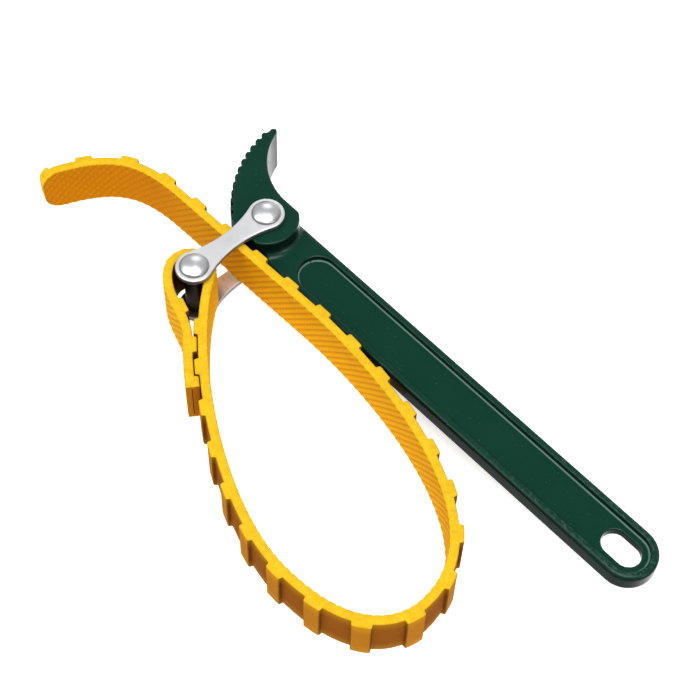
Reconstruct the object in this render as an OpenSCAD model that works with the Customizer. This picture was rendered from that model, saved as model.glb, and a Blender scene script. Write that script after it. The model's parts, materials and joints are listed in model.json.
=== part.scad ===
// Strap wrench for oil filters: a cast lever with a ribbed jaw, a pair of link
// plates riveted to its head, and a toothed rubber strap looped back through the
// throat between the jaw and the strap rivet.
//
// Millimetres. X runs along the handle to the grip end, Z along the rivets, and the
// origin is the middle of the hanging slot. Shapes are drawn about the head rivet
// and then moved there by from_slot().

/* [Handle] */
// Distance from the head rivet to the grip end
handle_reach = 186; // [150:1:240]
// Width of the handle
handle_w = 20.5; // [18:0.5:24]
// Thickness of the handle over its rims
handle_t = 8; // [6.5:0.5:11]
// Radius of the handle's long edges
handle_edge_r = 1.5; // [0.5:0.1:2.5]
// Width of the rim round the recessed panel
rim_w = 2.8; // [2:0.1:4]
// Depth of the recessed panel on each face
panel_depth = 2.2; // [1:0.1:2.5]
// Distance from the head rivet to the start of the panel
panel_start = 20; // [18:0.5:40]
// Length of the hanging slot
slot_l = 15; // [12:0.5:20]
// Width of the hanging slot
slot_w = 9.4; // [7:0.2:11]

/* [Jaw] */
// Radius of the boss round the head rivet
boss_r = 12; // [11:0.2:14]
// Radius of the fillet at the foot of the boss
boss_fillet_r = 3; // [1:0.5:4]
// Radius of the ribbed gripping face
face_r = 50.5; // [46:0.5:56]
// Distance from the head rivet to the nearest point of the ribbed face
heel_reach = 12.4; // [11.5:0.1:14]
// Direction of that nearest point, turned from the handle's direction
heel_angle = 238; // [232:1:242]
// Radius of the hollow back of the jaw
back_r = 28; // [25:0.5:31]
// Radius of the jaw's nose
nose_r = 1.3; // [1:0.1:2]
// Height of the nose's centre above the middle of the handle
jaw_rise = 28.7; // [26:0.1:31]
// Distance from one rib to the next
rib_pitch = 3.7; // [2.5:0.1:5]
// Depth of the grooves between the ribs
rib_depth = 1.1; // [0.6:0.1:1.5]

/* [Link] */
// Distance between the two rivets
link_l = 34; // [32:0.5:38]
// Thickness of each link plate
plate_t = 2.2; // [1.5:0.1:3]
// Radius of the plates' round ends
plate_end_r = 6.7; // [6:0.1:8]
// Width across the plates' waist
waist_w = 7; // [5:0.5:9]
// Radius of the rivet shanks
shank_r = 2.9; // [2.5:0.1:3.2]
// Radius of the rivet heads
rivet_head_r = 5.1; // [4.9:0.1:5.8]
// Height of the rivet heads
rivet_head_h = 2.2; // [1.5:0.1:3]
// Height of the straight side under the dome of a rivet head
rivet_rim_h = 0.5; // [0.3:0.1:1]
// Outer radius of the spacer tube on the strap rivet
spacer_r = 4; // [3.8:0.1:4.6]

/* [Strap] */
// Width of the strap
strap_w = 20; // [16:0.5:24]
// Thickness of the strap between its teeth
strap_t = 3.5; // [2.8:0.1:3.9]
// Height of the strap's teeth
tooth_h = 1.5; // [1:0.1:1.8]
// Length of a tooth along the strap
tooth_l = 6.4; // [4:0.2:7]
// Distance from one tooth to the next
tooth_pitch = 16.1; // [15:0.1:20]
// Slope of a tooth's flanks, along the strap
tooth_draft = 0.3; // [0.1:0.1:0.8]
// Thickness of the woven ply inside the strap
ply_t = 0.7; // [0.4:0.1:1]
// Rubber left at each edge of the ply
ply_margin = 1.5; // [1:0.5:3]
// Radius of the corners of the strap's free end
tail_corner_r = 7; // [3:0.5:9]

/* [Route of the strap] */
// Distance from the head rivet to the far end of the loop
loop_reach = 145.2; // [125:0.1:165]
// Depth of the lowest point of the loop, below the head rivet
loop_depth = 88.9; // [78:0.1:100]
// Distance along the handle to the lowest point
loop_low_x = 105.8; // [90:0.1:115]
// Depth of the far end, below the head rivet
loop_far_y = 63.8; // [52:0.1:68]
// Distance along the handle where the upper run starts to bend
loop_top_x = 38; // [30:1:50]
// Tilt of the upper run, which rises towards the loop
run_tilt = 1.1; // [0:0.1:2]
// Direction in which the strap leaves the spacer, below the handle's direction
fold_angle = 56; // [50:1:62]
// Distance from the spacer over which the folded end closes in on the strap
fold_close = 26; // [22:0.5:34]
// Length of the folded end
fold_l = 46; // [42:1:56]
// Distance from the head rivet back to where the tail starts to bend
tail_bend_x = 28; // [20:1:35]
// Distance from the head rivet back to the tip of the tail
tail_reach = 70.5; // [60:0.5:85]
// Depth of the tail's tip, below the head rivet
tail_drop = 47.5; // [38:0.5:56]
// Direction of the tail's tip, below the handle's direction reversed
tail_angle = 69; // [50:1:75]
// Pull of the lower run's curve at the eye
eye_pull = 31; // [24:0.5:38]
// Pull of the lower run's curve at the lowest point
low_pull = 32; // [24:0.5:40]
// Pull of the near turn's curve at the lowest point
turn_pull = 36; // [28:0.5:42]
// Pull of the near turn's curve at the far end
end_pull = 6.5; // [5:0.5:10]
// Pull of the far turn's curve at the far end
far_pull = 43; // [34:0.5:50]
// Pull of the far turn's curve at the upper run
top_pull = 30; // [20:0.5:40]
// Pull of the tail's curve at the upper run
tail_pull = 25; // [18:0.5:32]
// Pull of the tail's curve at its tip
tip_pull = 27; // [20:0.5:34]

/* [Clearances] */
// Gap between the head and each link plate
plate_gap = 0.15; // [0.1:0.05:0.4]
// Gap between the edge of the strap and the face of the head
strap_edge_gap = 0.5; // [0.3:0.1:1]
// Gap between the strap's teeth and the head above them
throat_gap = 0.85; // [0.8:0.05:1.5]
// Radial running gap of the head rivet in its bore
rivet_gap = 0.05; // [0.02:0.01:0.1]
// Gap between the folded strap and the spacer
eye_gap = 0.25; // [0.2:0.05:0.6]
// Slack of the strap's eye, which bears on the spacer on the loop's side
eye_slack = 1.7; // [1:0.1:2.2]
// Gap left where the folded end's teeth lie between the strap's
fold_gap = 0.3; // [0.2:0.1:1]
// Gap between the end of one of the strap's teeth and the folded end's tooth next to it
mesh_gap = 0.3; // [0.2:0.1:1]

/* [Hidden] */
$fn = 64;
eps = 0.01;

// Handle and slot
handle_half = handle_w / 2;
grip_x = handle_reach - handle_half;
panel_r = handle_half - rim_w;
slot_r = slot_w / 2;
slot_run = slot_l - slot_w;
slot_x = grip_x - slot_run / 2;

// Head, plates and rivets, stacked outwards from the middle of the strap
head_t = strap_w + 2 * strap_edge_gap;
plate_z = head_t / 2 + plate_gap;
plate_top = plate_z + plate_t;

// Jaw: the ribbed face, the hollow back and the nose that joins them. The nose
// runs into the bottom of the grooves, and the back runs into the handle's edge.
jaw_tuck = 1;
face_c = -(face_r - heel_reach) * [cos(heel_angle), sin(heel_angle)];
nose_c = [face_c[0] - leg(face_r - rib_depth - nose_r, jaw_rise - face_c[1]), jaw_rise];
back_c = [
    nose_c[0] + leg(back_r + nose_r, jaw_rise - handle_half - back_r),
    handle_half + back_r
];
jaw_root = max(back_c[0], 0) + jaw_tuck;
face_top = heading(nose_c - face_c);
back_end = heading(nose_c - back_c);
rib_turn = rib_pitch / face_r * 180 / PI;

// Each corner of a rib: its share of the pitch and how deep it lies
rib_shape = [[-0.15, rib_depth], [0, 0], [0.45, 0], [0.6, rib_depth]];
rib_count = floor((heel_angle - face_top) / rib_turn + rib_shape[0][0]);

// Plate outline: the concave side runs tangent into both round ends
side_r = (pow(link_l / 2, 2) + pow(waist_w / 2, 2) - pow(plate_end_r, 2))
    / (2 * plate_end_r - waist_w);
side_x = waist_w / 2 + side_r;
side_share = plate_end_r / (side_r + plate_end_r);

// Strap: its middle line, from the cut end of the fold to the tip of the tail
strap_pin = [0, -link_l];
eye_r = spacer_r + eye_gap + eye_slack + strap_t / 2;
eye_c = strap_pin - eye_slack * turned(90 - fold_angle);
eye_out = eye_c + eye_r * turned(90 - fold_angle);
fold_apart = strap_t + tooth_h + fold_gap;
low_point = [loop_low_x, -loop_depth];
far_point = [loop_reach, -loop_far_y];
bend_point = [loop_top_x, -(handle_half + throat_gap + tooth_h + strap_t / 2)];
tail_bend = bend_point - (loop_top_x + tail_bend_x) * [1, tan(run_tilt)];
tail_tip = [-tail_reach, -tail_drop];
lower_run = curve(eye_out, eye_pull * turned(-fold_angle), low_point, [low_pull, 0]);
near_turn = curve(low_point, [turn_pull, 0], far_point, [0, end_pull]);
far_turn = curve(far_point, [0, far_pull], bend_point, -top_pull * turned(run_tilt));
tail_run = curve(tail_bend, -tail_pull * turned(run_tilt), tail_tip,
    tip_pull * turned(180 + tail_angle));
loop_run = joined([lower_run, near_turn, far_turn, tail_run]);

// The folded end keeps beside the loop and closes in on it
loop_s = lengths(loop_run);
loop_a = headings(loop_run);
fold_steps = [for (i = [0 : 24]) fold_l * (1 - i / 24)];
fold_run = [for (s = fold_steps)
    run_point(loop_run, loop_s, s)
        + fold_off(s / fold_close) * turned(lookup(s, table(loop_s, loop_a)) - 90)];
eye_run = [for (a = [174 : -6 : 6]) eye_c + eye_r * turned(90 - fold_angle + a)];
route = concat(fold_run, eye_run, loop_run);
route_s = lengths(route);
route_a = headings(route);
strap_l = route_s[len(route_s) - 1];
loop_start = strap_l - loop_s[len(loop_s) - 1];

// Teeth are spaced so that the folded end's lie between the loop's, each next to the
// end of one: that needs a whole number of pitches along the strap between them
tooth_step = tooth_l + mesh_gap;
fold_place = [for (i = [0 : len(fold_steps) - 1]) [fold_steps[i], route_s[i]]];
function doubled(s) = loop_start + s - lookup(s + tooth_step, fold_place);
last_s = fold_l - tooth_step;
doubled_at = [for (i = [0 : 20]) [doubled(last_s * i / 20), loop_start + last_s * i / 20]];
tooth_at = lookup(tooth_pitch * floor(doubled(last_s) / tooth_pitch), doubled_at);

// The strap is bare where it wraps the spacer
bare_run = sqrt(tooth_h * (2 * (spacer_r + eye_gap) - tooth_h));
bare_from = route_s[len(fold_steps) - 1] - tooth_l / 2;
bare_to = loop_start + bare_run + tooth_l / 2;
first_tooth = floor(-tooth_at / tooth_pitch);
last_tooth = ceil((strap_l - tooth_at) / tooth_pitch);
tooth_steps = concat(
    [for (i = [0 : 2]) (tooth_pitch * (3 - i) + tooth_l * i) / 6],
    [tooth_l / 2],
    [for (i = [0 : 3]) (tooth_l / 2 - tooth_draft) * (1 - 2 * i / 3)],
    [-tooth_l / 2],
    [for (i = [1 : 2]) -(tooth_pitch * i + tooth_l * (3 - i)) / 6]
);

function turned(a) = [cos(a), sin(a)];
function heading(v) = (atan2(v[1], v[0]) + 360) % 360;
function arc(c, r, a0, a1, n) = [for (i = [0 : n]) c + r * turned(a0 + (a1 - a0) * i / n)];

// The other short side of a right triangle
function leg(long_side, side) = sqrt(long_side * long_side - side * side);

// A cubic curve that leaves p with tangent u and arrives at q with tangent v
function curve(p, u, q, v, n = 30) = [for (i = [0 : n])
    let (t = i / n, k = 1 - t)
    k * k * k * p + 3 * k * k * t * (p + u) + 3 * k * t * t * (q - v) + t * t * t * q];

function joined(runs) = [for (i = [0 : len(runs) - 1], j = [(i == 0 ? 0 : 1) : len(runs[i]) - 1])
    runs[i][j]];

// Length along a run of points up to each of them
function lengths(p) = [for (i = 0, s = 0; i < len(p);
    i = i + 1, s = s + (i < len(p) ? norm(p[i] - p[i - 1]) : 0)) s];

// Direction of a run at each of its points, with no jumps past a full turn
function step_a(p, i) =
    let (n = len(p) - 1, v = p[min(i + 1, n)] - p[max(i - 1, 0)])
    atan2(v[1], v[0]);
function unturned(a) = a - 360 * round(a / 360);
function headings(p) = [for (i = 0, a = step_a(p, 0); i < len(p);
    i = i + 1, a = a + (i < len(p) ? unturned(step_a(p, i) - a) : 0)) a];

function table(s, v) = [for (i = [0 : len(s) - 1]) [s[i], v[i]]];
function run_point(p, s, at) =
    [lookup(at, table(s, [for (q = p) q[0]])), lookup(at, table(s, [for (q = p) q[1]]))];

// Distance of the folded end from the loop: the eye's width, easing to fold_apart
function fold_off(part) = let (t = min(part, 1))
    2 * eye_r + (fold_apart - 2 * eye_r) * (3 * t * t - 2 * t * t * t);

// Places along the strap where its outline has a point: even steps and tooth corners
route_x = table(route_s, [for (q = route) q[0]]);
route_y = table(route_s, [for (q = route) q[1]]);
route_turn = table(route_s, route_a);
function strap_point(s, off) =
    [lookup(s, route_x), lookup(s, route_y)] + off * turned(lookup(s, route_turn) - 90);
even_s = [for (i = [0 : floor(strap_l / 2)]) strap_l * i / floor(strap_l / 2)];

// Height of the teeth at a place along the strap
function tooth_top(s) =
    let (mid = tooth_at + tooth_pitch * round((s - tooth_at) / tooth_pitch))
    mid > bare_from && mid < bare_to ? 0
    : tooth_h * max(0, min(1, (tooth_l / 2 - abs(s - mid)) / tooth_draft));

// Places of the toothed side's points, from the tail's tip back to the cut end
toothed_s = concat(
    [strap_l],
    [for (k = [last_tooth : -1 : first_tooth], step = tooth_steps)
        let (s = tooth_at + k * tooth_pitch + step)
        if (s > eps && s < strap_l - eps) s],
    [0]
);

// Moves a shape drawn about the head rivet into the frame of the hanging slot
module from_slot() {
    translate([-slot_x, 0, 0]) children();
}

module both_faces() {
    children();
    mirror([0, 0, 1]) children();
}

// A long round-ended shape on the X axis, between two arc centres
module stadium(x0, x1, r) {
    translate([x0, 0]) circle(r);
    translate([x1, 0]) circle(r);
    translate([x0, -r]) square([x1 - x0, 2 * r]);
}

// Half of the handle's cross-section, from its middle to its rounded edge
module half_section() {
    flat = handle_t / 2 - handle_edge_r;
    translate([0, -handle_t / 2]) square([handle_half - handle_edge_r, handle_t]);
    translate([0, -flat]) square([handle_half, 2 * flat]);
    for (side = [-1, 1])
        translate([handle_half - handle_edge_r, side * flat]) circle(handle_edge_r);
}

module handle_bar() {
    rotate([90, 0, 90]) linear_extrude(grip_x) {
        half_section();
        mirror([1, 0]) half_section();
    }
    translate([grip_x, 0, 0]) rotate([0, 0, -90]) rotate_extrude(angle = 180) half_section();
}

// The corners of one rib, going down the gripping face
function rib(a) = [
    for (corner = rib_shape) face_c + (face_r - corner[1]) * turned(a + corner[0] * rib_turn)];

module jaw_outline() {
    polygon(concat(
        arc(nose_c, nose_r, heading(back_c - nose_c), face_top, 12),
        [for (k = [rib_count : -1 : 1], p = rib(heel_angle - k * rib_turn)) p],
        [rib(heel_angle)[0], rib(heel_angle)[1]],
        [[jaw_root, -handle_half], [jaw_root, handle_half]],
        arc(back_c, back_r, 270, back_end, 24)
    ));
}

module boss() {
    intersection() {
        cylinder(r = boss_r, h = head_t, center = true);
        cube([2 * boss_r, handle_w, head_t], center = true);
    }
}

// Concave foot that carries the boss down onto the handle's face
module boss_foot() {
    foot_r = boss_r + boss_fillet_r;
    intersection() {
        rotate_extrude() difference() {
            translate([0, handle_t / 2 - eps]) square([foot_r, boss_fillet_r + eps]);
            translate([foot_r, handle_t / 2 + boss_fillet_r]) circle(boss_fillet_r);
        }
        translate([0, -handle_half + handle_edge_r, 0])
            cube([2 * foot_r, handle_w - 2 * handle_edge_r, head_t]);
    }
}

module lever() {
    color("darkgreen") from_slot() difference() {
        union() {
            handle_bar();
            linear_extrude(head_t, center = true) jaw_outline();
            boss();
            both_faces() boss_foot();
        }
        cylinder(r = shank_r + rivet_gap, h = head_t + 2, center = true);
        both_faces() translate([0, 0, handle_t / 2 - panel_depth])
            linear_extrude(panel_depth + 1) stadium(panel_start + panel_r, grip_x, panel_r);
        linear_extrude(handle_t + 2, center = true) stadium(grip_x - slot_run, grip_x, slot_r);
    }
}

// Dog-bone outline, from the head rivet down to the strap rivet
module plate_outline() {
    tangent_x = side_x * side_share;
    tangent_y = link_l / 2 * side_share;
    circle(plate_end_r);
    translate(strap_pin) circle(plate_end_r);
    difference() {
        translate([-tangent_x, tangent_y - link_l]) square([2 * tangent_x, link_l - 2 * tangent_y]);
        for (side = [-1, 1]) translate([side * side_x, -link_l / 2]) circle(side_r, $fn = 200);
    }
}

module link_plate() {
    translate([0, 0, plate_z]) difference() {
        linear_extrude(plate_t) plate_outline();
        for (at = [[0, 0], strap_pin])
            translate([at[0], at[1], -1]) cylinder(r = shank_r, h = plate_t + 2);
    }
}

module front_link_plate() {
    color("gainsboro") from_slot() link_plate();
}

module rear_link_plate() {
    color("silver") from_slot() mirror([0, 0, 1]) link_plate();
}

// Straight-sided rim with a round dome on it
module rivet_head() {
    dome_h = rivet_head_h - rivet_rim_h;
    dome_r = (rivet_head_r * rivet_head_r + dome_h * dome_h) / (2 * dome_h);
    translate([0, 0, plate_top]) {
        cylinder(r = rivet_head_r, h = rivet_rim_h);
        intersection() {
            translate([0, 0, rivet_head_h - dome_r]) sphere(dome_r);
            translate([0, 0, rivet_rim_h - eps]) cylinder(r = rivet_head_r, h = rivet_head_h);
        }
    }
}

module rivet() {
    cylinder(r = shank_r, h = 2 * plate_top + 2 * eps, center = true);
    both_faces() rivet_head();
}

module head_rivet() {
    color("lightsteelblue") from_slot() rivet();
}

module strap_rivet() {
    color("lightsteelblue") from_slot() translate(strap_pin) rivet();
}

module spacer_tube() {
    color("slategray") from_slot() translate(strap_pin) difference() {
        cylinder(r = spacer_r, h = 2 * plate_z, center = true);
        cylinder(r = shank_r, h = 2 * plate_z + 2, center = true);
    }
}

module ply_outline() {
    ply_s = [for (s = even_s) if (s < strap_l - tail_corner_r) s];
    n = len(ply_s) - 1;
    polygon(concat(
        [for (s = ply_s) strap_point(s, -ply_t / 2)],
        [for (i = [n : -1 : 0]) strap_point(ply_s[i], ply_t / 2)]
    ));
}

module ply() {
    linear_extrude(strap_w - 2 * ply_margin, center = true) ply_outline();
}

// Cuts the two corners of the tail's tip to a radius
module tail_corners() {
    span = 4 * (strap_t + tooth_h);
    both_faces() translate([tail_tip[0], tail_tip[1], strap_w / 2])
        rotate([0, 0, route_a[len(route_a) - 1]])
        difference() {
            translate([-tail_corner_r, -span / 2, -tail_corner_r])
                cube([2 * tail_corner_r, span, 2 * tail_corner_r]);
            translate([-tail_corner_r, 0, -tail_corner_r]) rotate([90, 0, 0])
                cylinder(r = tail_corner_r, h = span + 2, center = true);
        }
}

module strap() {
    color("gold") from_slot() difference() {
        linear_extrude(strap_w, center = true)
            polygon(concat(
                [for (s = even_s) strap_point(s, -strap_t / 2)],
                [for (s = toothed_s) strap_point(s, strap_t / 2 + tooth_top(s))]
            ));
        ply();
        tail_corners();
    }
}

module strap_ply() {
    color("tan") from_slot() ply();
}

lever();
front_link_plate();
rear_link_plate();
head_rivet();
strap_rivet();
spacer_tube();
strap();
strap_ply();
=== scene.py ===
import json
from math import ceil, floor, pi, radians, tan

import bmesh
import bpy
import numpy as np
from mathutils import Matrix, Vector


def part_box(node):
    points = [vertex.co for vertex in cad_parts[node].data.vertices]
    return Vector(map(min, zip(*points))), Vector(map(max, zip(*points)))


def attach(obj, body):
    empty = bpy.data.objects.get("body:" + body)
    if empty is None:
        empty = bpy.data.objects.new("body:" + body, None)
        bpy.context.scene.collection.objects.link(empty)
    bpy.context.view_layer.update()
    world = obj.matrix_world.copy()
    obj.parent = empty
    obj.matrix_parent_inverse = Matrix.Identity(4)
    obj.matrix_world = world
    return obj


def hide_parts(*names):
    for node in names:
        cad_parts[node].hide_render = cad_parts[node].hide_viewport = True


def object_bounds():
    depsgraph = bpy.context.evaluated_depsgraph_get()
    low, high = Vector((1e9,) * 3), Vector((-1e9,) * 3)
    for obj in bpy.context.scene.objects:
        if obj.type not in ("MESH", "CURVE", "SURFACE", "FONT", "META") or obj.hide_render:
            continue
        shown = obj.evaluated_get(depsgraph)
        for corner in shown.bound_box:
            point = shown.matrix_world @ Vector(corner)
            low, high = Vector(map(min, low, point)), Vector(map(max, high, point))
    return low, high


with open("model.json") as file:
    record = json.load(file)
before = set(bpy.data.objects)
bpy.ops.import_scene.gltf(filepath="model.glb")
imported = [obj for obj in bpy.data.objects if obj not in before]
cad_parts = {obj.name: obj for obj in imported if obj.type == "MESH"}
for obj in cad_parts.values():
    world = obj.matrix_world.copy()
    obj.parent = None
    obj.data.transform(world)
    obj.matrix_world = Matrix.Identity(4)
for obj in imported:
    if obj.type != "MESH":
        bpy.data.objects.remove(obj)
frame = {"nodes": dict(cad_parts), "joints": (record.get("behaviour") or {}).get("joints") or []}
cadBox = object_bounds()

mm = 0.001
scene = bpy.context.scene
nodes = frame["nodes"]
headPin = Vector(frame["joints"][0]["pos_m"])    # the link swings here on the lever
strapPin = Vector(frame["joints"][1]["pos_m"])   # the strap hangs here on the link


def placePiece(name, mesh, material, body, standsFor, sharp):    # sharp in degrees
    for face in mesh.polygons:
        face.use_smooth = True
    mesh.set_sharp_from_angle(angle=radians(sharp))
    mesh.materials.clear()
    mesh.materials.append(material)
    piece = bpy.data.objects.new(name, mesh)
    scene.collection.objects.link(piece)
    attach(piece, body)
    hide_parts(standsFor)
    print("made", name, len(mesh.polygons), "faces")
    return piece


def meshFrom(name, bm):
    mesh = bpy.data.meshes.new(name)
    bm.to_mesh(mesh)
    bm.free()
    return mesh


def mergedCopy(node):    # a CAD node's shape with its loose triangles joined up
    bm = bmesh.new()
    bm.from_mesh(nodes[node].data)
    bmesh.ops.remove_doubles(bm, verts=bm.verts, dist=0.002 * mm)
    return bm


def throughModifiers(name, mesh, settings):    # what the mesh looks like after a few modifiers
    rough = bpy.data.objects.new(name, mesh)
    scene.collection.objects.link(rough)
    for kind, values in settings:
        modifier = rough.modifiers.new(kind, kind)
        for key, value in values.items():
            setattr(modifier, key, value)
    graph = bpy.context.evaluated_depsgraph_get()
    done = bpy.data.meshes.new_from_object(rough.evaluated_get(graph))
    bpy.data.objects.remove(rough)
    bpy.data.meshes.remove(mesh)
    done.name = name
    return done


def turnedPiece(name, profile, centre, steps=96):    # spins points of radius and height round Z
    bm = bmesh.new()
    chain = [bm.verts.new(Vector((r * mm, 0, z * mm)) + centre) for r, z in profile]
    edges = [bm.edges.new(pair) for pair in zip(chain, chain[1:])]
    bmesh.ops.spin(bm, geom=chain + edges, cent=centre, axis=(0, 0, 1), angle=2 * pi,
                   steps=steps, use_merge=True)
    bmesh.ops.remove_doubles(bm, verts=bm.verts, dist=0.001 * mm)
    bmesh.ops.recalc_face_normals(bm, faces=bm.faces)
    return meshFrom(name, bm)


def newGroup(name, inputs, outputs):    # a shader group with named sockets
    group = bpy.data.node_groups.new(name, "ShaderNodeTree")
    for label, kind, value in inputs:
        socket = group.interface.new_socket(label, in_out="INPUT", socket_type=kind)
        if value is not None:
            socket.default_value = value
    for label, kind in outputs:
        group.interface.new_socket(label, in_out="OUTPUT", socket_type=kind)
    start = group.nodes.new("NodeGroupInput")
    end = group.nodes.new("NodeGroupOutput")
    return group, start, end


def addNode(tree, kind, **values):
    made = tree.nodes.new(kind)
    for key, value in values.items():
        setattr(made, key, value)
    return made


def noise(tree, vector, scale, detail=3, roughness=0.55):
    made = addNode(tree, "ShaderNodeTexNoise")
    made.inputs["Scale"].default_value = scale
    made.inputs["Detail"].default_value = detail
    made.inputs["Roughness"].default_value = roughness
    tree.links.new(vector, made.inputs["Vector"])
    return made.outputs["Fac"]


def calc(tree, operation, a, b=0.5, clamp=False):
    made = addNode(tree, "ShaderNodeMath", operation=operation, use_clamp=clamp)
    for socket, value in zip(made.inputs, (a, b)):
        if isinstance(value, (int, float)):
            socket.default_value = value
        else:
            tree.links.new(value, socket)
    return made.outputs[0]


def remap(tree, value, low, high, toLow=0.0, toHigh=1.0):    # low may lie above high
    made = addNode(tree, "ShaderNodeMapRange")
    tree.links.new(value, made.inputs["Value"])
    for label, number in (("From Min", low), ("From Max", high),
                          ("To Min", toLow), ("To Max", toHigh)):
        made.inputs[label].default_value = number
    return made.outputs["Result"]


def span(tree, value, ends):    # 0 at the first end and 1 at the second, in millimetres
    return remap(tree, value, ends[0] * mm, ends[1] * mm)


def mixColour(tree, factor, a, b):
    made = addNode(tree, "ShaderNodeMix", data_type="RGBA")
    for socket, value in ((made.inputs[0], factor), (made.inputs[6], a), (made.inputs[7], b)):
        if isinstance(value, (int, float)):
            socket.default_value = value
        elif isinstance(value, tuple):
            socket.default_value = (*value, 1)
        else:
            tree.links.new(value, socket)
    return made.outputs[2]


def bump(tree, height, distance, strength):
    made = addNode(tree, "ShaderNodeBump")
    made.inputs["Strength"].default_value = strength
    made.inputs["Distance"].default_value = distance
    tree.links.new(height, made.inputs["Height"])
    return made.outputs["Normal"]


def attribute(tree, name):    # a value kept on the mesh's own points
    return addNode(tree, "ShaderNodeAttribute", attribute_name=name).outputs["Fac"]


def stretched(tree, spot, scale):    # draws a pattern out along the axes with small scales
    made = addNode(tree, "ShaderNodeMapping")
    made.inputs["Scale"].default_value = scale
    tree.links.new(spot, made.inputs["Vector"])
    return made.outputs["Vector"]


def splitUp(tree, vector):    # gives the outputs X, Y and Z
    made = addNode(tree, "ShaderNodeSeparateXYZ")
    tree.links.new(vector, made.inputs[0])
    return made.outputs


def newMaterial(name, **surface):
    material = bpy.data.materials.new(name)
    material.use_nodes = True
    tree = material.node_tree
    shader = tree.nodes["Principled BSDF"]
    for label, value in surface.items():
        shader.inputs[label.replace("_", " ")].default_value = value
    place = addNode(tree, "ShaderNodeTexCoord")
    return material, tree, shader, place


def useGroup(tree, group, vector, **values):
    made = addNode(tree, "ShaderNodeGroup", node_tree=group)
    tree.links.new(vector, made.inputs["Vector"])
    for label, value in values.items():
        made.inputs[label.replace("_", " ")].default_value = value
    return made.outputs


def makeEdgeWear():    # rubbed spots along the outer edges
    group, start, end = newGroup("edgeWear",
        [("Vector", "NodeSocketVector", None), ("Sharpness", "NodeSocketFloat", 18.0),
         ("Break Up", "NodeSocketFloat", 400.0), ("Amount", "NodeSocketFloat", 0.6)],
        [("Mask", "NodeSocketFloat")])
    shape = addNode(group, "ShaderNodeNewGeometry")
    ridge = calc(group, "SUBTRACT", shape.outputs["Pointiness"], 0.505)
    ridge = calc(group, "MULTIPLY", ridge, start.outputs["Sharpness"], clamp=True)
    patches = addNode(group, "ShaderNodeTexNoise")
    patches.inputs["Detail"].default_value = 4
    group.links.new(start.outputs["Vector"], patches.inputs["Vector"])
    group.links.new(start.outputs["Break Up"], patches.inputs["Scale"])
    patchy = remap(group, patches.outputs["Fac"], 0.35, 0.65)
    worn = calc(group, "MULTIPLY", ridge, patchy)
    worn = calc(group, "MULTIPLY", worn, start.outputs["Amount"], clamp=True)
    group.links.new(worn, end.inputs["Mask"])
    return group


def makeDustAndHollowShade():    # a mask: painted shade in the hollows, a cloudy dirt layer, and loose specks
    group, start, end = newGroup("dustAndHollowShade",
        [("Vector", "NodeSocketVector", None), ("Amount", "NodeSocketFloat", 0.3)],
        [("Mask", "NodeSocketFloat"), ("Specks", "NodeSocketFloat")])
    shape = addNode(group, "ShaderNodeNewGeometry")
    hollow = calc(group, "SUBTRACT", 0.495, shape.outputs["Pointiness"])
    hollow = calc(group, "MULTIPLY", hollow, 14.0, clamp=True)
    cloud = remap(group, noise(group, start.outputs["Vector"], 90, 5), 0.4, 0.75)
    layer = calc(group, "MAXIMUM", hollow, calc(group, "MULTIPLY", cloud, 0.35))
    layer = calc(group, "MULTIPLY", layer, start.outputs["Amount"], clamp=True)
    specks = remap(group, noise(group, start.outputs["Vector"], 1300, 2), 0.71, 0.78)
    group.links.new(layer, end.inputs["Mask"])
    group.links.new(specks, end.inputs["Specks"])
    return group


edgeWear = makeEdgeWear()
dustAndHollowShade = makeDustAndHollowShade()


# the wall colour is painted shade and the foot colour a painted highlight; the grime colour is dirt
# with painted shade in the hollows
enamel = {    # heights are from the handle's middle, the scuffs from the hanging slot
    "green": (0.0006, 0.032, 0.018), "pale": (0.003, 0.052, 0.031), "worn": (0.09, 0.17, 0.14),
    "grimeAndHollowShade": (0.003, 0.014, 0.011), "speck": (0.12, 0.2, 0.17), "wall": (0.0004, 0.008, 0.006),
    "foot": (0.12, 0.24, 0.19), "scuff": (0.04, 0.085, 0.07), "roughness": 0.2, "ripple": 0.04,
    "rimHeight": (3.6, 3.9), "scuffedEnd": (-75, -15), "panelFoot": (2.8, 2.4),
    "bossFoot": (4.3, 4.6), "bossWall": (6.2, 5.6)}


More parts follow.
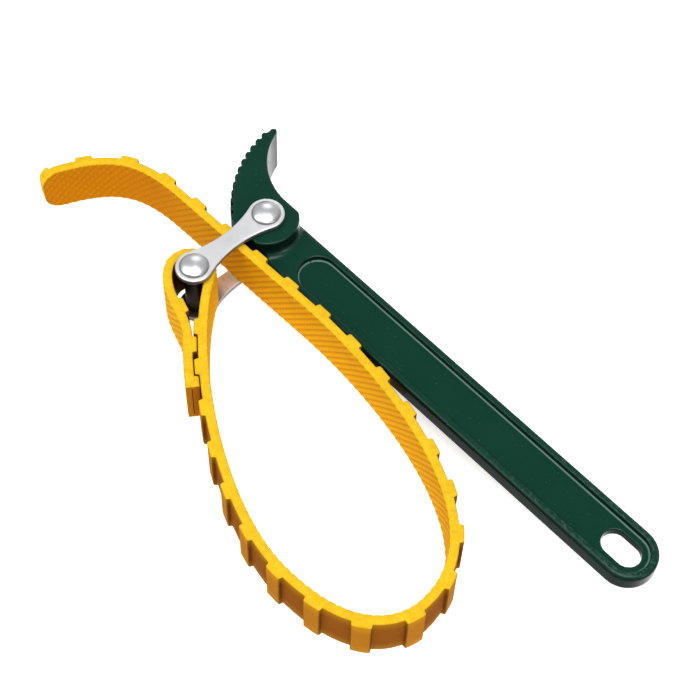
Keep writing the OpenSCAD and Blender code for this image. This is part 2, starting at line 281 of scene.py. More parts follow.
def makeEnamel():
    material, tree, shader, place = newMaterial(
        "greenEnamel", Specular_IOR_Level=0.16, Coat_Roughness=0.12, Coat_IOR=1.2)
    spot = place.outputs["Object"]
    tint = remap(tree, noise(tree, spot, 45, 4), 0.3, 0.7)
    colour = mixColour(tree, calc(tree, "MULTIPLY", tint, 0.25), enamel["green"], enamel["pale"])
    where, facing = splitUp(tree, spot), splitUp(tree, place.outputs["Normal"])
    height, level = (calc(tree, "ABSOLUTE", parts["Z"]) for parts in (where, facing))
    rim = calc(tree, "MULTIPLY", span(tree, height, enamel["rimHeight"]),
               span(tree, where["X"], enamel["scuffedEnd"]))
    scuffs = calc(tree, "MULTIPLY", rim, remap(tree, noise(tree, spot, 850, 4, 0.7), 0.5, 0.68))
    colour = mixColour(tree, scuffs, colour, enamel["scuff"])
    wall = remap(tree, level, 0.92, 0.55)    # painted shade: the enamel is darker on upright walls
    colour = mixColour(tree, calc(tree, "MULTIPLY", wall, 0.85), colour, enamel["wall"])
    # painted highlight: a light line is painted along the foot of the panel's wall, and a broken
    # one round the boss
    slant = calc(tree, "MULTIPLY", remap(tree, level, 0.99, 0.95), remap(tree, level, 0.4, 0.6))
    bossFoot = calc(tree, "MULTIPLY", span(tree, height, enamel["bossFoot"]),
                    span(tree, height, enamel["bossWall"]))
    broken = remap(tree, noise(tree, spot, 130), 0.4, 0.7, 0.1, 0.5)
    foot = calc(tree, "MAXIMUM", span(tree, height, enamel["panelFoot"]),
                calc(tree, "MULTIPLY", bossFoot, broken))
    bend = addNode(tree, "ShaderNodeNewGeometry").outputs["Pointiness"]
    foot = calc(tree, "MULTIPLY", foot, remap(tree, bend, 0.51, 0.485))    # hollows only
    colour = mixColour(tree, calc(tree, "MULTIPLY", slant, calc(tree, "MULTIPLY", foot, 0.8)),
                       colour, enamel["foot"])
    worn = useGroup(tree, edgeWear, spot, Sharpness=9.0, Break_Up=700.0, Amount=0.35)["Mask"]
    colour = mixColour(tree, worn, colour, enamel["worn"])
    # painted shade in the hollows, a cloudy dirt layer and light specks
    grimeAndHollowShade = useGroup(tree, dustAndHollowShade, spot, Amount=0.18)
    colour = mixColour(tree, grimeAndHollowShade["Mask"], colour, enamel["grimeAndHollowShade"])
    colour = mixColour(tree, calc(tree, "MULTIPLY", grimeAndHollowShade["Specks"], 0.5), colour,
                       enamel["speck"])
    tree.links.new(colour, shader.inputs["Base Color"])
    gloss = remap(tree, noise(tree, spot, 160, 3), 0.3, 0.7, enamel["roughness"] - 0.05,
                  enamel["roughness"] + 0.08)
    tree.links.new(calc(tree, "ADD", gloss, calc(tree, "MULTIPLY", grimeAndHollowShade["Mask"], 0.4)),
                   shader.inputs["Roughness"])
    tree.links.new(remap(tree, noise(tree, spot, 60, 2), 0.3, 0.7, 0.05, 0.15),
                   shader.inputs["Coat Weight"])
    castSkin = calc(tree, "ADD", noise(tree, spot, 260, 4),
                    calc(tree, "MULTIPLY", noise(tree, spot, 1100, 2), 0.3))
    tree.links.new(bump(tree, castSkin, enamel["ripple"] * mm, 0.35), shader.inputs["Normal"])
    return material


casting = {"voxel": 0.34, "smoothing": 6, "keep": 0.55}    # rounds the edges off a little


def makeLever():
    mesh = meshFrom("castLever", mergedCopy("lever"))
    mesh = throughModifiers("castLever", mesh, [
        ("REMESH", {"mode": "VOXEL", "voxel_size": casting["voxel"] * mm, "adaptivity": 0}),
        ("SMOOTH", {"factor": 0.5, "iterations": casting["smoothing"]}),
        ("DECIMATE", {"ratio": casting["keep"]})])
    return placePiece("castLever", mesh, makeEnamel(), "lever", "lever", 80)


makeLever()


# round the rivets and near the strap's pin these colours paint shade; the brown stains are partly a
# painted reflection of the strap
plating = {
    "zinc": (0.86, 0.87, 0.89), "stain": (0.74, 0.73, 0.73), "bright": (0.9, 0.9, 0.92),
    "darkUprightEdge": (0.16, 0.16, 0.17), "creaseShade": (0.10, 0.10, 0.10),
    "eyeShade": (0.05, 0.028, 0.016), "brownStainAndReflection": (0.42, 0.33, 0.16), "grimeAndHollowShade": (0.25, 0.24, 0.23),
    "roughness": 0.4, "scratches": 0.02, "creaseSpan": (5.5, 5.15), "innerFace": (10.9, 10.7),
    "eyeShadeSpan": (12, 7)}


def fromPin(tree, spot, pin):    # how far a spot is from a pin's axis
    made = spot
    for operation, value in (("SUBTRACT", (pin.x, pin.y, 0)), ("MULTIPLY", (1, 1, 0)),
                             ("LENGTH", None)):
        step = addNode(tree, "ShaderNodeVectorMath", operation=operation)
        tree.links.new(made, step.inputs[0])
        if value:
            step.inputs[1].default_value = value
        made = step.outputs["Vector" if value else "Value"]
    return made


def makeZinc():
    material, tree, shader, place = newMaterial("zincPlating", Metallic=0.86)
    spot = place.outputs["Object"]
    cloudy = remap(tree, noise(tree, spot, 130, 5, 0.6), 0.35, 0.75)
    colour = mixColour(tree, calc(tree, "MULTIPLY", cloudy, 0.45), plating["zinc"],
                       plating["stain"])
    bright = useGroup(tree, edgeWear, spot, Sharpness=20.0, Break_Up=900.0, Amount=0.8)["Mask"]
    colour = mixColour(tree, bright, colour, plating["bright"])
    # the plates are coloured darker on their upright edges
    colour = mixColour(tree, calc(tree, "MULTIPLY", attribute(tree, "darkUprightEdge"), 0.9), colour,
                       plating["darkUprightEdge"])
    for pin in (headPin, strapPin):    # painted shade round each rivet's head, where it meets the plate
        creaseShade = span(tree, fromPin(tree, spot, pin), plating["creaseSpan"])
        colour = mixColour(tree, calc(tree, "MULTIPLY", creaseShade, 0.85), colour, plating["creaseShade"])
    inner = span(tree, calc(tree, "ABSOLUTE", splitUp(tree, spot)["Z"]), plating["innerFace"])
    # painted shade on the inner faces near the strap's pin
    eyeShade = calc(tree, "MULTIPLY", inner,
                span(tree, fromPin(tree, spot, strapPin), plating["eyeShadeSpan"]))
    colour = mixColour(tree, calc(tree, "MULTIPLY", eyeShade, 0.95), colour, plating["eyeShade"])
    # brown stains on the inner faces, partly a painted reflection of the strap
    stainsAndReflection = calc(tree, "MULTIPLY", inner, remap(tree, noise(tree, spot, 170, 3), 0.52, 0.64))
    colour = mixColour(tree, calc(tree, "MULTIPLY", stainsAndReflection, 0.35), colour, plating["brownStainAndReflection"])
    # darker in the hollows as painted shade, with a cloudy dirt layer
    grimeAndHollowShade = useGroup(tree, dustAndHollowShade, spot, Amount=0.25)
    colour = mixColour(tree, grimeAndHollowShade["Mask"], colour, plating["grimeAndHollowShade"])
    tree.links.new(colour, shader.inputs["Base Color"])
    strokes = noise(tree, stretched(tree, spot, (1, 0.06, 1)), 4200, 3, 0.6)
    gloss = remap(tree, strokes, 0.3, 0.7, plating["roughness"] - 0.06, plating["roughness"] + 0.1)
    tree.links.new(gloss, shader.inputs["Roughness"])
    skin = calc(tree, "ADD", calc(tree, "MULTIPLY", strokes, 0.35), noise(tree, spot, 900, 3))
    tree.links.new(bump(tree, skin, plating["scratches"] * mm, 0.5), shader.inputs["Normal"])
    return material


blank = {"edgeRound": 0.55, "segments": 4, "holeEdge": 4}    # holes keep their sharp edges


def makeLinkPlate(name, node, material):
    bm = mergedCopy(node)
    bmesh.ops.dissolve_limit(bm, angle_limit=radians(1), verts=bm.verts, edges=bm.edges)
    rims = [e for e in bm.edges if len(e.link_faces) == 2
            and e.calc_face_angle() > radians(60)
            and min((v.co.xy - pin.xy).length for v in e.verts
                    for pin in (headPin, strapPin)) > blank["holeEdge"] * mm]
    bmesh.ops.bevel(bm, geom=rims, offset=blank["edgeRound"] * mm, affect="EDGES",
                    segments=blank["segments"], profile=0.5, material=-1, clamp_overlap=True)
    bmesh.ops.triangulate(bm, faces=[f for f in bm.faces if len(f.verts) > 4])
    heights = [v.co.z for v in bm.verts]
    bottom, top = min(heights), max(heights)
    uprightEdgeShare = bm.verts.layers.float.new("darkUprightEdge")
    for v in bm.verts:    # 1 on the upright edge, 0 where the rounding meets a flat face
        nearest = min(v.co.z - bottom, top - v.co.z)
        v[uprightEdgeShare] = min(1, nearest / (blank["edgeRound"] * mm)) ** 2
    return placePiece(name, meshFrom(name, bm), material, "link", node, 30)


zinc = makeZinc()
makeLinkPlate("frontPlate", "front_link_plate", zinc)
makeLinkPlate("rearPlate", "rear_link_plate", zinc)


rivet = {"headRadius": 5.1, "headHeight": 2.2, "rim": 0.5, "shank": 2.9, "lip": 0.22,
         "domeRings": (0, 0.8, 1.6, 2.4, 3.1, 3.7, 4.2, 4.6), "skirtSpan": (4.1, 5.1),
         "ownHead": (7, 6), "steel": (0.88, 0.89, 0.91), "cloud": (0.74, 0.74, 0.76),
         "skirtShade": (0.2, 0.2, 0.21), "grimeAndHollowShade": (0.2, 0.19, 0.18), "dents": 0.02}


def makeRivetSteel():
    material, tree, shader, place = newMaterial("rivetSteel", Metallic=1.0)
    spot = place.outputs["Object"]
    cloudy = remap(tree, noise(tree, spot, 350, 4), 0.35, 0.7)
    colour = mixColour(tree, calc(tree, "MULTIPLY", cloudy, 0.3), rivet["steel"], rivet["cloud"])
    for pin in (headPin, strapPin):    # painted shade: the dome darkens towards its rim
        skirtShade, near = (span(tree, fromPin(tree, spot, pin), rivet[ends])
                       for ends in ("skirtSpan", "ownHead"))
        colour = mixColour(tree, calc(tree, "MULTIPLY", skirtShade, calc(tree, "MULTIPLY", near, 0.75)),
                           colour, rivet["skirtShade"])
    # darker in the hollows as painted shade, with a cloudy dirt layer
    grimeAndHollowShade = useGroup(tree, dustAndHollowShade, spot, Amount=0.35)
    colour = mixColour(tree, grimeAndHollowShade["Mask"], colour, rivet["grimeAndHollowShade"])
    tree.links.new(colour, shader.inputs["Base Color"])
    dents = noise(tree, spot, 420, 3)
    tree.links.new(remap(tree, dents, 0.3, 0.7, 0.27, 0.38), shader.inputs["Roughness"])
    tree.links.new(bump(tree, dents, rivet["dents"] * mm, 0.35), shader.inputs["Normal"])
    return material


def makeRivet(name, node, centre, material):
    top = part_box(node)[1].z / mm
    under = top - rivet["headHeight"]
    big, lip, rim = rivet["headRadius"], rivet["lip"], rivet["rim"]
    rise = rivet["headHeight"] - rim
    dome = (big * big + rise * rise) / (2 * rise)    # radius of the dome
    half = [(r, top - dome + (dome * dome - r * r) ** 0.5)
            for r in (*rivet["domeRings"], big - lip)]
    half += [(big - 0.07, under + rim + 0.02), (big, under + rim - lip), (big, under + 0.12),
             (big - 0.12, under), (rivet["shank"] + 0.05, under), (rivet["shank"], under - 0.05)]
    profile = half + [(r, -z) for r, z in reversed(half)]
    mesh = turnedPiece(name, profile, Vector((centre.x, centre.y, 0)))
    return placePiece(name, mesh, material, "link", node, 50)


rivetSteel = makeRivetSteel()
makeRivet("headRivet", "head_rivet", headPin, rivetSteel)
makeRivet("strapRivet", "strap_rivet", strapPin, rivetSteel)


# the spacer's near-black steel colours are painted shade for the inside of the strap's eye
sleeve = {"outer": 4.0, "inner": 2.9, "chamfer": 0.3, "steel": (0.075, 0.05, 0.038),
          "turned": (0.04, 0.025, 0.019), "grimeAndHollowShade": (0.03, 0.018, 0.012), "turnMarks": 0.015}


def makeTurnedSteel():
    material, tree, shader, place = newMaterial("turnedSteel", Metallic=1.0)
    spot = place.outputs["Object"]
    lines = noise(tree, stretched(tree, spot, (0.05, 0.05, 1)), 5200, 2)
    # painted shade: the spacer is coloured nearly black
    colour = mixColour(tree, remap(tree, lines, 0.35, 0.65), sleeve["steel"], sleeve["turned"])
    # darker in the hollows as painted shade, with a cloudy dirt layer
    grimeAndHollowShade = useGroup(tree, dustAndHollowShade, spot, Amount=0.4)
    colour = mixColour(tree, grimeAndHollowShade["Mask"], colour, sleeve["grimeAndHollowShade"])
    tree.links.new(colour, shader.inputs["Base Color"])
    tree.links.new(remap(tree, lines, 0.3, 0.7, 0.3, 0.48), shader.inputs["Roughness"])
    tree.links.new(bump(tree, lines, sleeve["turnMarks"] * mm, 0.6), shader.inputs["Normal"])
    return material


def makeSpacer(material):
    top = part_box("spacer_tube")[1].z / mm
    outer, inner, cut = sleeve["outer"], sleeve["inner"], sleeve["chamfer"]
    profile = [(outer, 0), (outer, top - cut), (outer - cut, top), (inner, top), (inner, -top),
               (outer - cut, -top), (outer, cut - top), (outer, 0)]
    mesh = turnedPiece("spacerTube", profile, Vector((strapPin.x, strapPin.y, 0)))
    return placePiece("spacerTube", mesh, material, "link", "spacer_tube", 30)


makeSpacer(makeTurnedSteel())


route = {    # the strap's way round, in millimetres and degrees from the head rivet
    "pinDrop": 34, "spacer": 4, "eyeGap": 0.25, "eyeSlack": 1.7, "leaveAngle": 56,
    "handleHalf": 10.25, "throatGap": 0.85, "bendX": 38, "tailBendX": 28, "tilt": 1.1,
    "low": (105.8, -88.9), "far": (145.2, -63.8), "tip": (-70.5, -47.5), "tipAngle": 69,
    "pulls": (31, 32, 36, 6.5, 43, 30, 25, 27), "fold": 46, "foldClose": 26, "foldGap": 0.3,
    "meshGap": 0.3}
belt = {
    "width": 20, "thick": 3.5, "tooth": 1.5, "toothLength": 6.4, "pitch": 16.1,
    "tipCorner": 7, "edgeRound": 0.35, "step": 0.46, "rows": 40,
    "ridgePitch": 3.12, "ridgeAngle": 48, "ridgeDepth": 0.36,
    "crossing": 0.35, "tailCrossing": 0.65, "crossingSpan": (90, 40),    # from the tip
    "plyWidth": 17.04, "plyThick": 0.72, "plyInset": 1.5,
    "tailSpan": (110, 45), "eyeShadeSpan": (38, 50, 78, 92), "paintedEdge": (0.4, 0.3)}


def along(angle):    # one millimetre that way
    return np.array((np.cos(np.radians(angle)), np.sin(np.radians(angle))))


def cubic(start, leave, end, arrive, count=30):    # a curve by its end points and pulls
    t = np.linspace(0, 1, count + 1)[:, None]
    k = 1 - t
    return (k ** 3 * start + 3 * k * k * t * (start + leave)
            + 3 * k * t * t * (end - arrive) + t ** 3 * end)


def lengthsOf(points):
    return np.concatenate(([0], np.cumsum(np.linalg.norm(np.diff(points, axis=0), axis=1))))


def headingsOf(points):    # the way the strap points, in degrees
    before = np.vstack((points[:1], points[:-1]))
    after = np.vstack((points[1:], points[-1:]))
    return np.degrees(np.unwrap(np.arctan2(*(after - before).T[::-1])))


def strapRoute():    # from the cut end round the spacer, the loop and the throat to the tip
    r, thick, tooth = route, belt["thick"], belt["tooth"]
    eyeRadius = r["spacer"] + r["eyeGap"] + r["eyeSlack"] + thick / 2
    out = along(90 - r["leaveAngle"])
    eyeCentre = np.array((0, -r["pinDrop"])) - r["eyeSlack"] * out
    apart = thick + tooth + r["foldGap"]
    low, far, tip = (np.array(r[key]) for key in ("low", "far", "tip"))
    bend = np.array((r["bendX"], -(r["handleHalf"] + r["throatGap"] + tooth + thick / 2)))
    tailBend = bend - (r["bendX"] + r["tailBendX"]) * np.array((1, tan(radians(r["tilt"]))))
    p = r["pulls"]
    runs = [cubic(eyeCentre + eyeRadius * out, p[0] * along(-r["leaveAngle"]), low,
                  np.array((p[1], 0))),
            cubic(low, np.array((p[2], 0)), far, np.array((0, p[3])))[1:],
            cubic(far, np.array((0, p[4])), bend, -p[5] * along(r["tilt"]))[1:],
            cubic(tailBend, -p[6] * along(r["tilt"]), tip, p[7] * along(180 + r["tipAngle"]))]
    loop = np.vstack(runs)
    loopS, loopA = lengthsOf(loop), headingsOf(loop)
    fold = []
    for s in np.linspace(r["fold"], 0, 25):
        part = min(s / r["foldClose"], 1)
        off = 2 * eyeRadius + (apart - 2 * eyeRadius) * (3 * part ** 2 - 2 * part ** 3)
        fold.append([np.interp(s, loopS, loop[:, 0]), np.interp(s, loopS, loop[:, 1])]
                    + off * along(np.interp(s, loopS, loopA) - 90))
    eye = [eyeCentre + eyeRadius * along(90 - r["leaveAngle"] + a) for a in range(174, 5, -6)]
    points = np.vstack((fold, eye, loop))
    lengths = lengthsOf(points)
    return points, lengths, headingsOf(points), len(fold), lengths[-1] - loopS[-1]


routePoints, routeS, routeA, foldCount, loopStart = strapRoute()
strapLength = routeS[-1]


def toothCentres():    # the folded layer's teeth sit between the other layer's
    step = belt["toothLength"] + route["meshGap"]
    foldS = np.linspace(0, route["fold"], foldCount)

    def doubled(s):
        return loopStart + s - np.interp(s + step, foldS, routeS[:foldCount][::-1])

    tries = np.linspace(0, route["fold"] - step, 21)
    first = np.interp(belt["pitch"] * floor(doubled(tries[-1]) / belt["pitch"]),
                      doubled(tries), loopStart + tries)
    grip = route["spacer"] + route["eyeGap"]
    half = belt["toothLength"] / 2
    bareFrom = routeS[foldCount - 1] - half
    bareTo = loopStart + (belt["tooth"] * (2 * grip - belt["tooth"])) ** 0.5 + half
    ks = range(floor(-first / belt["pitch"]), ceil((strapLength - first) / belt["pitch"]) + 1)
    places = [first + k * belt["pitch"] for k in ks]
    return [s for s in places if not bareFrom < s < bareTo]


# a tooth's end wall: how far outside the tooth, and the share of its height there
toothFlank = ((0.3, 0), (0.08, 0.04), (-0.06, 0.3), (-0.2, 0.75), (-0.38, 0.94), (-0.65, 1))


def strapStations(centres):    # where along the strap its section stands
    half = belt["toothLength"] / 2
    corners = sorted(c + side * (half + d) for c in centres for side in (-1, 1)
                     for d, _ in toothFlank)
    tipStart = strapLength - belt["tipCorner"]
    tipSteps = [tipStart + belt["tipCorner"] * np.sin(a) for a in np.linspace(0, pi / 2, 16)]
    marks = sorted([s for s in corners if 0.3 < s < tipStart - 0.2] + [0.25, *tipSteps])
    stations = []
    for a, b in zip(marks, marks[1:]):
        parts = max(1, ceil((b - a) / belt["step"]))
        stations += [a + (b - a) * i / parts for i in range(parts)]
    return np.array(stations)


def beltRing():    # once round the strap's section: across it, and off its middle
    half, t, r = belt["width"] / 2, belt["thick"] / 2, belt["edgeRound"]
    # the three points inside each corner stand in reverse, so the rounding doubles back
    turn = [r * along(a) for a in (67.5, 45, 22.5)]
    ring = [(z, -t) for z in np.linspace(-half + r, half - r, belt["rows"] + 1)]
    ring += [(half - r + y, -t + r - x) for x, y in turn]
    ring += [(half, -t + r), (half, 0), (half, t - r)]
    ring += [(half - r + y, t - r + x) for x, y in turn[::-1]]
    ring += [(z, t) for z in np.linspace(half - r, -half + r, 5)]
    ring += [(-half + r - y, t - r + x) for x, y in turn]
    ring += [(-half, t - r), (-half, 0), (-half, -t + r)]
    ring += [(-half + r - y, -t + r - x) for x, y in turn[::-1]]
    ring.append(ring[0])
    return np.array(ring)


def toothWalls(centres):    # places along the strap, and the share of a tooth's height there
    half = belt["toothLength"] / 2
    places, heights = [], []
    for c in centres:
        places += [c - half - d for d, _ in toothFlank]
        places += [c + half + d for d, _ in toothFlank[::-1]]
        heights += [h for _, h in toothFlank + toothFlank[::-1]]
    order = np.argsort(places)
    return np.array(places)[order], np.array(heights)[order]


def strapSections(centres):    # place, width and thickness, from the ply's slot to a closed tip
    slot = (belt["plyWidth"] / belt["width"], belt["plyThick"] / belt["thick"])
    sections = [(belt["plyInset"], 0, 0), (belt["plyInset"], *slot), (0, *slot),
                (0, 0.985, 0.9), (0.08, 0.996, 0.97)]
    sections += [(s, 1, 1) for s in strapStations(centres)]
    sections += [(strapLength - 0.1, 1, 0.96), (strapLength, 0.95, 0.86), (strapLength, 0, 0)]
    return np.array(sections).T


def tipNarrowing(s):    # the tip's two corners are rounded off
    wide, corner = belt["width"] / 2, belt["tipCorner"]
    past = s - (strapLength - corner)
    rounded = wide - corner + np.sqrt(np.maximum(corner ** 2 - np.maximum(past, 0) ** 2, 0))
    return np.where(past > 0, rounded / wide, 1)


def fromTip(s, distances, values):    # changes between two distances from the tip
    return np.interp(s, [strapLength - d for d in distances], values)[:, None]


def knurling(s, z):    # slanting grooves, crossed by fainter ones that grow towards the tip
    slope = tan(radians(belt["ridgeAngle"]))
    crossing = fromTip(s, belt["crossingSpan"], (belt["crossing"], belt["tailCrossing"]))
    groove = 0
    for side, share in ((1, 1), (-1, crossing)):
        phase = (s[:, None] + side * z / slope) / belt["ridgePitch"]
        groove = np.maximum(groove, share * (0.5 - 0.5 * np.cos(2 * pi * phase)) ** 2)
    return groove


def makeStrap(material):
    centres = toothCentres()
    s, across, depth = strapSections(centres)
    ring = beltRing()
    half, wide, r = belt["thick"] / 2, belt["width"] / 2, belt["edgeRound"]
    toothed = ring[:, 1] > 0
    height = np.interp(s, *toothWalls(centres))
    z = ring[:, 0][None] * (tipNarrowing(s) * across)[:, None]
    off = np.where(toothed, ring[:, 1] + (height * belt["tooth"])[:, None], ring[:, 1])
    off = off * depth[:, None]
    knurled = np.clip((-ring[:, 1] - half + r) / r, 0, 1)[None] * (depth[:, None] > 0.95)
    groove = knurling(s, z) * knurled
    off += belt["ridgeDepth"] * groove
    angle = np.radians(np.interp(s, routeS, routeA) - 90)
    x = np.interp(s, routeS, routePoints[:, 0])[:, None] + off * np.cos(angle)[:, None]
    y = np.interp(s, routeS, routePoints[:, 1])[:, None] + off * np.sin(angle)[:, None]

    climb = height[:, None] * toothed
    everywhere = np.ones_like(climb)
    edgeWidth, edgeFade = belt["paintedEdge"]
    innerWall = ring[:, 1] > half - 0.01    # painted shade darkens the inside of the eye
    # the cut edges get a lighter yellow than the faces: partly the rubber's own colour, partly
    # painted light
    masks = {"cutEdge": everywhere * np.clip((abs(ring[:, 0]) - wide + edgeWidth) / edgeFade, 0, 1),
             # painted shade: the tail darkens towards the tip
             "tail": fromTip(s, belt["tailSpan"], (0, 1)) * knurled, "groove": groove,
             # painted light on the tooth tops and painted shade on the tooth ends
             "toothEndShade": np.sqrt(4 * climb * (1 - climb)), "litToothTop": climb,
             # painted shade on the toothed side
             "toothedSideShade": everywhere * toothed,
             "eyeShade": np.interp(s, belt["eyeShadeSpan"], (0, 1, 1, 0))[:, None] * innerWall,
             # painted shade on the cut end
             "cutEndShade": everywhere * (s < 0.05)[:, None]}

    bm = bmesh.new()
    nx, ny = len(s) - 1, len(ring) - 1
    bmesh.ops.create_grid(bm, x_segments=nx, y_segments=ny, size=1)
    uv = bm.loops.layers.uv.new("belt")
    layers = [(bm.verts.layers.float.new(name), mask) for name, mask in masks.items()]
    around = lengthsOf(ring)
    indexOf = {}
    for v in bm.verts:    # the flat grid is wrapped round the section and along the route
        i, j = round((v.co.x + 1) / 2 * nx), round((v.co.y + 1) / 2 * ny)
        indexOf[v] = (i, j)
        v.co = Vector((x[i, j], y[i, j], z[i, j])) * mm + Vector((headPin.x, headPin.y, 0))
        for layer, mask in layers:
            v[layer] = mask[i, j]
    for face in bm.faces:
        for loop in face.loops:
            i, j = indexOf[loop.vert]
            loop[uv].uv = (s[i] / 10, around[j] / 10)    # in centimetres
    bmesh.ops.remove_doubles(bm, verts=bm.verts, dist=0.001 * mm)
    bmesh.ops.recalc_face_normals(bm, faces=bm.faces)
    return placePiece("ridgedStrap", meshFrom("ridgedStrap", bm), material, "strap",
                      "strap", 60)


# of these, the tail, groove, toothed side, tooth end, cut end and eye colours are painted shade,
# the tooth top colour is painted light, and the edge colours are partly painted light
rubber = {
    "dullEdge": (0.56, 0.33, 0.012), "edge": (0.76, 0.45, 0.012), "bright": (0.86, 0.60, 0.035),
    "face": (0.74, 0.37, 0.003), "tail": (0.48, 0.168, 0.001), "groove": (0.42, 0.125, 0.0),
    "toothedSideShade": (0.21, 0.052, 0.001), "litToothTop": (0.41, 0.155, 0.005),
    "toothEndShade": (0.10, 0.026, 0.002), "cutEndShade": (0.40, 0.13, 0.003),
    "eyeShade": (0.05, 0.012, 0.003), "grimeAndHollowShade": (0.34, 0.11, 0.002),
    "clothScale": 14, "clothSlip": 0.12, "press": 0.06}


def makeRubber():
    material, tree, shader, place = newMaterial("yellowRubber", Specular_IOR_Level=0.02)
    spot = place.outputs["Object"]
    mottle = remap(tree, noise(tree, spot, 240, 4, 0.6), 0.3, 0.7)
    colour = mixColour(tree, calc(tree, "MULTIPLY", mottle, 0.3), rubber["face"], rubber["edge"])

    def painted(under, name, share):
        mask = calc(tree, "MULTIPLY", attribute(tree, name), share)
        return mixColour(tree, mask, under, rubber[name])

    # painted shade on the tail, the grooves, the toothed side and the tooth ends; painted light on
    # the tooth tops
    for name, share in (("tail", 0.9), ("groove", 0.62), ("toothedSideShade", 0.95), ("litToothTop", 0.9),
                        ("toothEndShade", 1.0)):
        colour = painted(colour, name, share)
    grain = remap(tree, noise(tree, spot, 900, 3, 0.7), 0.35, 0.7)
    edge = mixColour(tree, calc(tree, "MULTIPLY", grain, 0.6), rubber["edge"], rubber["bright"])
    blotches = remap(tree, noise(tree, spot, 330, 4, 0.65), 0.42, 0.72)
    edge = mixColour(tree, calc(tree, "MULTIPLY", blotches, 0.5), edge, rubber["dullEdge"])
    # the cut edges are painted a lighter yellow than the faces: partly their own colour, partly
    # painted light
    cutEdge = attribute(tree, "cutEdge")
    colour = mixColour(tree, cutEdge, colour, edge)
    # painted shade on the cut end and inside the eye
    colour = painted(painted(colour, "cutEndShade", 0.9), "eyeShade", 0.8)
    # darker in the hollows as painted shade, with a cloudy dirt layer
    grimeAndHollowShade = useGroup(tree, dustAndHollowShade, spot, Amount=0.25)
    colour = mixColour(tree, grimeAndHollowShade["Mask"], colour, rubber["grimeAndHollowShade"])
    tree.links.new(colour, shader.inputs["Base Color"])
    tree.links.new(remap(tree, noise(tree, spot, 500, 3), 0.3, 0.7, 0.55, 0.75),
                   shader.inputs["Roughness"])
    uvMap = addNode(tree, "ShaderNodeUVMap", uv_map="belt").outputs["UV"]
    cloth = addNode(tree, "ShaderNodeTexVoronoi", distance="CHEBYCHEV")
    cloth.inputs["Scale"].default_value = rubber["clothScale"]
    cloth.inputs["Randomness"].default_value = rubber["clothSlip"]
    tree.links.new(uvMap, cloth.inputs["Vector"])
    pressed = calc(tree, "MULTIPLY", cloth.outputs["Distance"],
                   calc(tree, "SUBTRACT", 1.0, cutEdge))
    height = calc(tree, "ADD", pressed, calc(tree, "MULTIPLY", noise(tree, spot, 1600, 3), 0.25))
    tree.links.new(bump(tree, height, rubber["press"] * mm, 0.6), shader.inputs["Normal"])
    return material


makeStrap(makeRubber())


cord = {"thread": (0.38, 0.13, 0.004), "light": (0.52, 0.22, 0.01), "scale": 900,
        "wobble": 0.6, "raised": 0.1}


def makeWeave():
    material, tree, shader, place = newMaterial("wovenCord", Roughness=0.9,
                                                Specular_IOR_Level=0.04)
    spot = place.outputs["Object"]
    heights = []
    for turn in ((0, 0, 0), (0, 0, radians(90))):
        aim = addNode(tree, "ShaderNodeMapping")
        aim.inputs["Rotation"].default_value = turn
        tree.links.new(spot, aim.inputs["Vector"])
        wave = addNode(tree, "ShaderNodeTexWave")
        wave.inputs["Scale"].default_value = cord["scale"]
        wave.inputs["Distortion"].default_value = cord["wobble"]
        tree.links.new(aim.outputs["Vector"], wave.inputs["Vector"])
        heights.append(wave.outputs["Fac"])
    cross = addNode(tree, "ShaderNodeTexWave", bands_direction="Z")
    cross.inputs["Scale"].default_value = cord["scale"]
    tree.links.new(spot, cross.inputs["Vector"])
    woven = calc(tree, "MAXIMUM", calc(tree, "MULTIPLY", heights[0], heights[1]),
                 cross.outputs["Fac"])
    colour = mixColour(tree, woven, cord["thread"], cord["light"])
    tree.links.new(colour, shader.inputs["Base Color"])
    tree.links.new(bump(tree, woven, cord["raised"] * mm, 0.8), shader.inputs["Normal"])
    return material


nodes["strap_ply"].data.materials.clear()
nodes["strap_ply"].data.materials.append(makeWeave())
print("finished the woven ply")


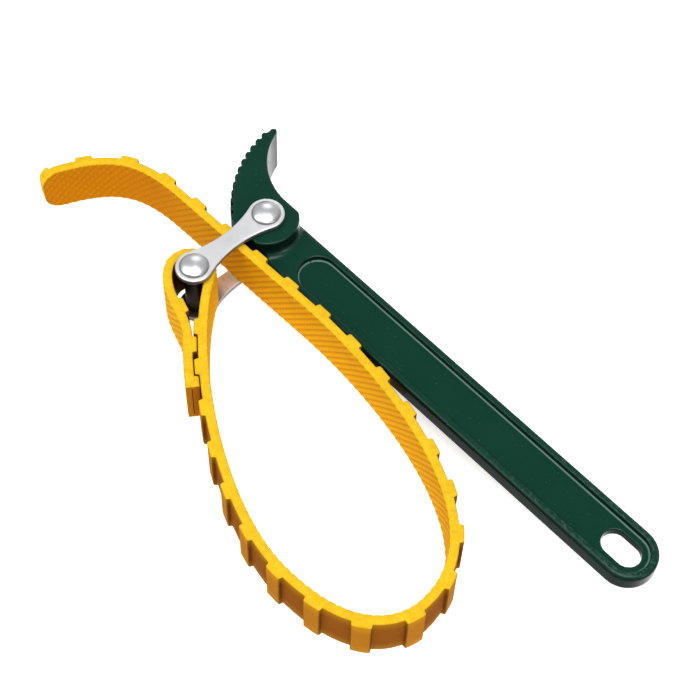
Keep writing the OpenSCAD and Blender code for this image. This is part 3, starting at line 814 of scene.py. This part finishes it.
studio = {"floorSize": 6.0, "floorDrop": 0.05, "floorGlow": 0.62, "world": 0.45,
          "farGlow": 1.7, "farSpan": (0.7, 1.4), "lookAt": (-0.08, -0.03, 0)}
lamps = (("overhead", (0.12, -0.2, 1.2), 0.8, 10.0),    # name, place, size, watts
         ("frontLeft", (-0.62, -0.72, 0.95), 0.7, 5.0),
         ("backLeft", (-0.9, 0.75, 0.6), 0.6, 1.2),
         ("right", (0.95, 0.1, 0.5), 0.4, 2.0))
camera = {"place": (0.11054, -0.24333, 0.51629), "turn": (0.560, -0.023, 0.812),
          "lens": 89.64, "sensor": 36}


def makeFloor():
    bm = bmesh.new()
    bmesh.ops.create_grid(bm, x_segments=1, y_segments=1, size=studio["floorSize"] / 2)
    bmesh.ops.translate(bm, verts=bm.verts, vec=(0, 0, cadBox[0].z - studio["floorDrop"] * mm))
    floorMesh = meshFrom("studioFloor", bm)
    floorMesh.materials.append(newMaterial(
        "paleFloor", Base_Color=(0.9, 0.9, 0.9, 1), Roughness=0.9, Specular_IOR_Level=0.0,
        Emission_Color=(1, 1, 1, 1), Emission_Strength=studio["floorGlow"])[0])
    floorPiece = bpy.data.objects.new("studioFloor", floorMesh)
    scene.collection.objects.link(floorPiece)
    floorPiece.visible_glossy = False    # keeps its white out of the enamel's reflections


def makeLight(name, place, size, power):
    data = bpy.data.lights.new(name, "AREA")
    data.shape, data.size, data.energy = "DISK", size, power
    lamp = bpy.data.objects.new(name, data)
    lamp.location = place
    aim = Vector(studio["lookAt"]) - Vector(place)
    lamp.rotation_euler = aim.to_track_quat("-Z", "Y").to_euler()
    scene.collection.objects.link(lamp)


def makeRoom():    # low reflections see a brighter far side
    world = bpy.data.worlds.new("softRoom")
    world.use_nodes = True
    room = world.node_tree
    room.nodes["Background"].inputs["Color"].default_value = (1, 1, 1, 1)
    way = splitUp(room, addNode(room, "ShaderNodeTexCoord").outputs["Generated"])
    away = calc(room, "SUBTRACT", way["Y"], way["Z"])
    glow = remap(room, away, *studio["farSpan"], studio["world"], studio["farGlow"])
    room.links.new(glow, room.nodes["Background"].inputs["Strength"])
    scene.world = world


def makeCamera():
    data = bpy.data.cameras.new("viewCamera")
    data.lens, data.sensor_width = camera["lens"], camera["sensor"]
    cameraPiece = bpy.data.objects.new("viewCamera", data)
    cameraPiece.location, cameraPiece.rotation_euler = camera["place"], camera["turn"]
    scene.collection.objects.link(cameraPiece)
    scene.camera = cameraPiece


makeFloor()
for lamp in lamps:
    makeLight(*lamp)
makeRoom()
makeCamera()
scene.view_settings.view_transform = "Standard"
print("studio ready")
